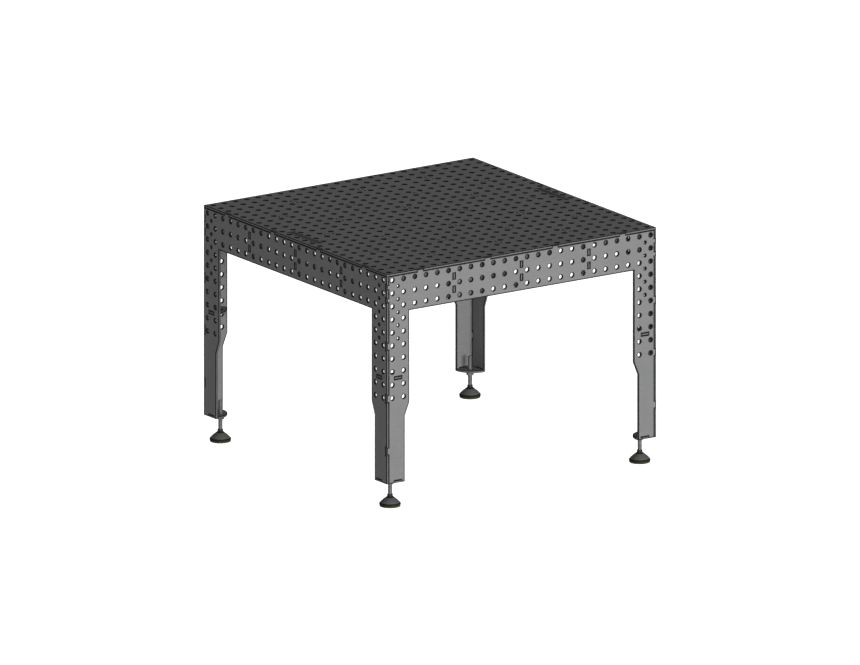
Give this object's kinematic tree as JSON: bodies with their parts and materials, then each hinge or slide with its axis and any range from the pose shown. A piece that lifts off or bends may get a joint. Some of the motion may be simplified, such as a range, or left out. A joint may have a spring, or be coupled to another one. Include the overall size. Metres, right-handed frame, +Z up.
{
  "type": "welding table",
  "caption": "Square perforated steel welding table of tabbed plates on four adjustable swivel screw feet.",
  "frame": {"origin": "on the floor, at the centre of the square footprint, with the feet at their rest setting", "axes": "+Z up, +X along the front face to the right, +Y from the front face to the back"},
  "size_m": [1.2, 1.2, 0.897],
  "materials": {
    "top_steel": "rolled plate",
    "panel_steel": "rolled plate",
    "rib_steel": "rolled plate",
    "stud_steel": "rolled thread",
    "nut_steel": "satin",
    "base_steel": "turned",
    "liner_plastic": "moulded",
    "pad_rubber": "moulded"
  },
  "bodies": {
    "frame": {"top_plate": "top_steel", "front_panel": "panel_steel", "right_panel": "panel_steel", "back_panel": "panel_steel", "left_panel": "panel_steel", "rib_long_front": "rib_steel", "rib_long_middle": "rib_steel", "rib_long_back": "rib_steel", "rib_cross_left": "rib_steel", "rib_cross_middle": "rib_steel", "rib_cross_right": "rib_steel", "leg_gusset_front_left": "rib_steel", "leg_gusset_front_right": "rib_steel", "leg_gusset_back_right": "rib_steel", "leg_gusset_back_left": "rib_steel", "foot_plate_front_left": "rib_steel", "foot_plate_front_right": "rib_steel", "foot_plate_back_right": "rib_steel", "foot_plate_back_left": "rib_steel"},
    "front_left_carrier": {"ball_cup_front_left": "liner_plastic"},
    "front_left_stud": {"stud_front_left": "stud_steel"},
    "front_left_gimbal": {"ball_ring_front_left": "liner_plastic"},
    "front_left_base": {"foot_base_front_left": "base_steel", "foot_collar_front_left": "base_steel", "foot_pad_front_left": "pad_rubber"},
    "front_left_nut": {"lock_nut_front_left": "nut_steel"},
    "front_right_carrier": {"ball_cup_front_right": "liner_plastic"},
    "front_right_stud": {"stud_front_right": "stud_steel"},
    "front_right_gimbal": {"ball_ring_front_right": "liner_plastic"},
    "front_right_base": {"foot_base_front_right": "base_steel", "foot_collar_front_right": "base_steel", "foot_pad_front_right": "pad_rubber"},
    "front_right_nut": {"lock_nut_front_right": "nut_steel"},
    "back_right_carrier": {"ball_cup_back_right": "liner_plastic"},
    "back_right_stud": {"stud_back_right": "stud_steel"},
    "back_right_gimbal": {"ball_ring_back_right": "liner_plastic"},
    "back_right_base": {"foot_base_back_right": "base_steel", "foot_collar_back_right": "base_steel", "foot_pad_back_right": "pad_rubber"},
    "back_right_nut": {"lock_nut_back_right": "nut_steel"},
    "back_left_carrier": {"ball_cup_back_left": "liner_plastic"},
    "back_left_stud": {"stud_back_left": "stud_steel"},
    "back_left_gimbal": {"ball_ring_back_left": "liner_plastic"},
    "back_left_base": {"foot_base_back_left": "base_steel", "foot_collar_back_left": "base_steel", "foot_pad_back_left": "pad_rubber"},
    "back_left_nut": {"lock_nut_back_left": "nut_steel"}
  },
  "joints": [
    {"name": "front_left_foot_height", "type": "slide", "parent": "frame", "child": "front_left_carrier", "axis": [0, 0, -1], "range_m": [-0.025, 0.04]},
    {"name": "front_left_stud_spin", "type": "hinge", "parent": "front_left_carrier", "child": "front_left_stud", "pos_m": [-0.556, -0.556, 0.028], "axis": [0, 0, -1], "range_deg": [-4505, 7205]},
    {"name": "front_left_tilt_side", "type": "hinge", "parent": "front_left_carrier", "child": "front_left_gimbal", "pos_m": [-0.556, -0.556, 0.028], "axis": [1, 0, 0], "range_deg": [-8, 8]},
    {"name": "front_left_tilt_fore", "type": "hinge", "parent": "front_left_gimbal", "child": "front_left_base", "pos_m": [-0.556, -0.556, 0.028], "axis": [0, 1, 0], "range_deg": [-8, 8]},
    {"name": "front_left_nut_travel", "type": "slide", "parent": "frame", "child": "front_left_nut", "axis": [0, 0, -1], "range_m": [0, 0.008]},
    {"name": "front_right_foot_height", "type": "slide", "parent": "frame", "child": "front_right_carrier", "axis": [0, 0, -1], "range_m": [-0.025, 0.04]},
    {"name": "front_right_stud_spin", "type": "hinge", "parent": "front_right_carrier", "child": "front_right_stud", "pos_m": [0.556, -0.556, 0.028], "axis": [0, 0, -1], "range_deg": [-4505, 7205]},
    {"name": "front_right_tilt_side", "type": "hinge", "parent": "front_right_carrier", "child": "front_right_gimbal", "pos_m": [0.556, -0.556, 0.028], "axis": [1, 0, 0], "range_deg": [-8, 8]},
    {"name": "front_right_tilt_fore", "type": "hinge", "parent": "front_right_gimbal", "child": "front_right_base", "pos_m": [0.556, -0.556, 0.028], "axis": [0, 1, 0], "range_deg": [-8, 8]},
    {"name": "front_right_nut_travel", "type": "slide", "parent": "frame", "child": "front_right_nut", "axis": [0, 0, -1], "range_m": [0, 0.008]},
    {"name": "back_right_foot_height", "type": "slide", "parent": "frame", "child": "back_right_carrier", "axis": [0, 0, -1], "range_m": [-0.025, 0.04]},
    {"name": "back_right_stud_spin", "type": "hinge", "parent": "back_right_carrier", "child": "back_right_stud", "pos_m": [0.556, 0.556, 0.028], "axis": [0, 0, -1], "range_deg": [-4505, 7205]},
    {"name": "back_right_tilt_side", "type": "hinge", "parent": "back_right_carrier", "child": "back_right_gimbal", "pos_m": [0.556, 0.556, 0.028], "axis": [1, 0, 0], "range_deg": [-8, 8]},
    {"name": "back_right_tilt_fore", "type": "hinge", "parent": "back_right_gimbal", "child": "back_right_base", "pos_m": [0.556, 0.556, 0.028], "axis": [0, 1, 0], "range_deg": [-8, 8]},
    {"name": "back_right_nut_travel", "type": "slide", "parent": "frame", "child": "back_right_nut", "axis": [0, 0, -1], "range_m": [0, 0.008]},
    {"name": "back_left_foot_height", "type": "slide", "parent": "frame", "child": "back_left_carrier", "axis": [0, 0, -1], "range_m": [-0.025, 0.04]},
    {"name": "back_left_stud_spin", "type": "hinge", "parent": "back_left_carrier", "child": "back_left_stud", "pos_m": [-0.556, 0.556, 0.028], "axis": [0, 0, -1], "range_deg": [-4505, 7205]},
    {"name": "back_left_tilt_side", "type": "hinge", "parent": "back_left_carrier", "child": "back_left_gimbal", "pos_m": [-0.556, 0.556, 0.028], "axis": [1, 0, 0], "range_deg": [-8, 8]},
    {"name": "back_left_tilt_fore", "type": "hinge", "parent": "back_left_gimbal", "child": "back_left_base", "pos_m": [-0.556, 0.556, 0.028], "axis": [0, 1, 0], "range_deg": [-8, 8]},
    {"name": "back_left_nut_travel", "type": "slide", "parent": "frame", "child": "back_left_nut", "axis": [0, 0, -1], "range_m": [0, 0.008]}
  ],
  "couplings": [
    {"joint": "front_left_stud_spin", "follows": "front_left_foot_height", "rad_per_m": 3141.6},
    {"joint": "front_right_stud_spin", "follows": "front_right_foot_height", "rad_per_m": 3141.6},
    {"joint": "back_right_stud_spin", "follows": "back_right_foot_height", "rad_per_m": 3141.6},
    {"joint": "back_left_stud_spin", "follows": "back_left_foot_height", "rad_per_m": 3141.6}
  ]
}
